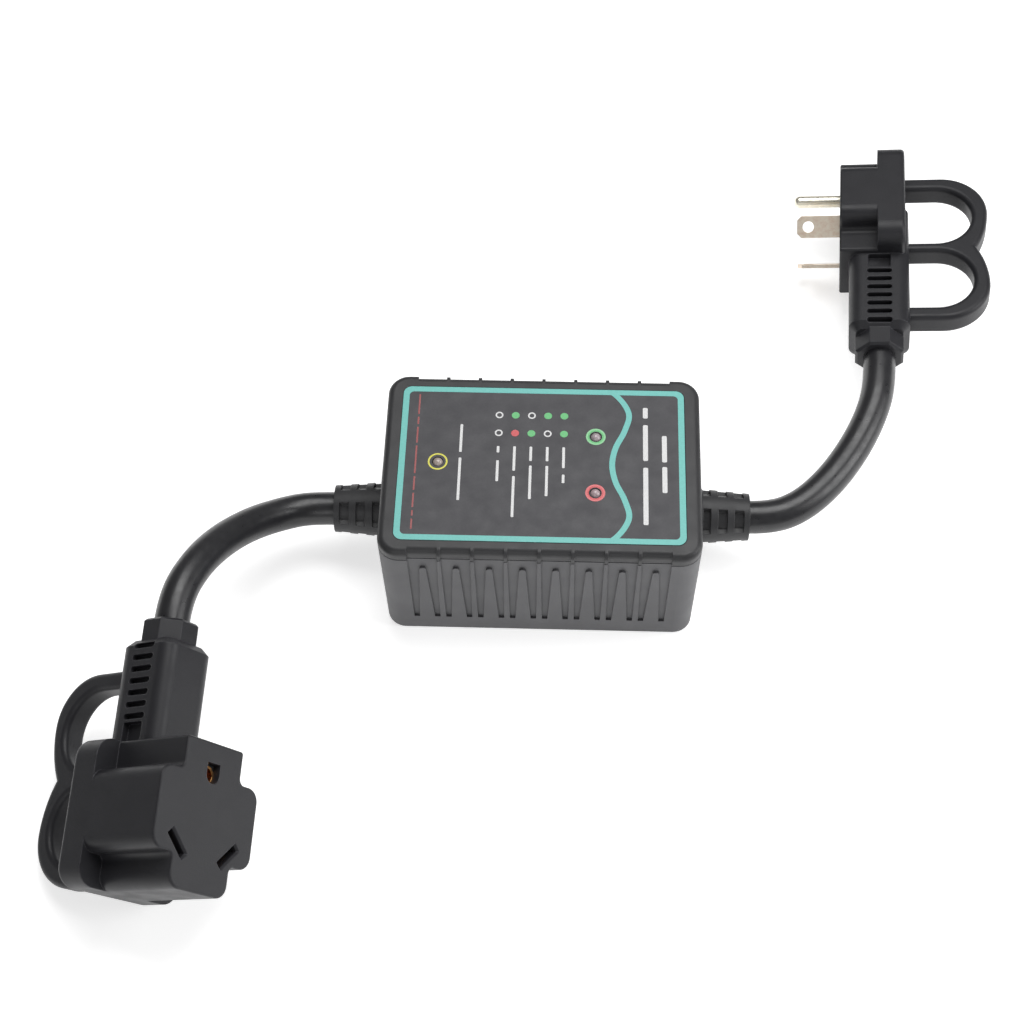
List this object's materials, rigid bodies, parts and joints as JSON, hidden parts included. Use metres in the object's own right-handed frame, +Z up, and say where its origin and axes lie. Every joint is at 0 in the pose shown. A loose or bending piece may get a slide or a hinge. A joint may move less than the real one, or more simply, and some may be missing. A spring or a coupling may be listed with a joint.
{
  "type": "in-line surge protector",
  "caption": "In-line 30 A surge protector for a travel trailer: a ribbed box with a three-lamp label, a short cord to a plug and a short cord to a receptacle, both with finger-loop handles.",
  "frame": {"origin": "middle of the case's underside, on the surface that it stands on", "axes": "+X from the receptacle side to the plug side, +Y to the case's back, +Z up"},
  "size_m": [0.452, 0.4218, 0.0848],
  "materials": {
    "case_plastic": "matte grained moulded plastic",
    "label": "satin printed film",
    "moulded_rubber": "satin moulded vinyl",
    "head_vinyl": "satin moulded vinyl",
    "insulator": "matte moulded plastic",
    "cord_jacket": "satin extruded vinyl",
    "brass": "satin",
    "plated_brass": "satin plated",
    "gasket": "matte",
    "plated_steel": "satin",
    "board": "satin solder mask",
    "led_green": "gloss moulded lens",
    "led_red": "gloss moulded lens",
    "led_amber": "gloss moulded lens",
    "varistor_blue": "satin epoxy dip",
    "fuse_body": "matte ceramic",
    "resistor_body": "satin lacquer",
    "wire_jacket": "satin"
  },
  "bodies": {
    "root": {"amber_led": "led_amber", "board_links": "plated_steel", "board_screws": "plated_steel", "case_base": "case_plastic", "case_cover": "case_plastic", "case_screws": "plated_steel", "circuit_board": "board", "cover_gasket": "gasket", "green_led": "led_green", "ground_bar": "brass", "label_plate": "label", "led_resistors": "resistor_body", "led_spacers": "insulator", "line_bar": "brass", "line_ground_varistor": "varistor_blue", "line_neutral_varistor": "varistor_blue", "load_conductors": "wire_jacket", "load_cord": "cord_jacket", "load_strain_relief": "moulded_rubber", "neutral_bar": "brass", "neutral_ground_varistor": "varistor_blue", "plug_core": "insulator", "plug_ground_pin": "plated_brass", "plug_housing": "head_vinyl", "plug_line_blade": "brass", "plug_neutral_blade": "brass", "receptacle_core": "insulator", "receptacle_ground_contact": "brass", "receptacle_housing": "head_vinyl", "receptacle_line_contact": "brass", "receptacle_neutral_contact": "brass", "red_led": "led_red", "supply_conductors": "wire_jacket", "supply_cord": "cord_jacket", "supply_strain_relief": "moulded_rubber", "terminal_block": "insulator", "thermal_fuses": "fuse_body"}
  },
  "joints": []
}
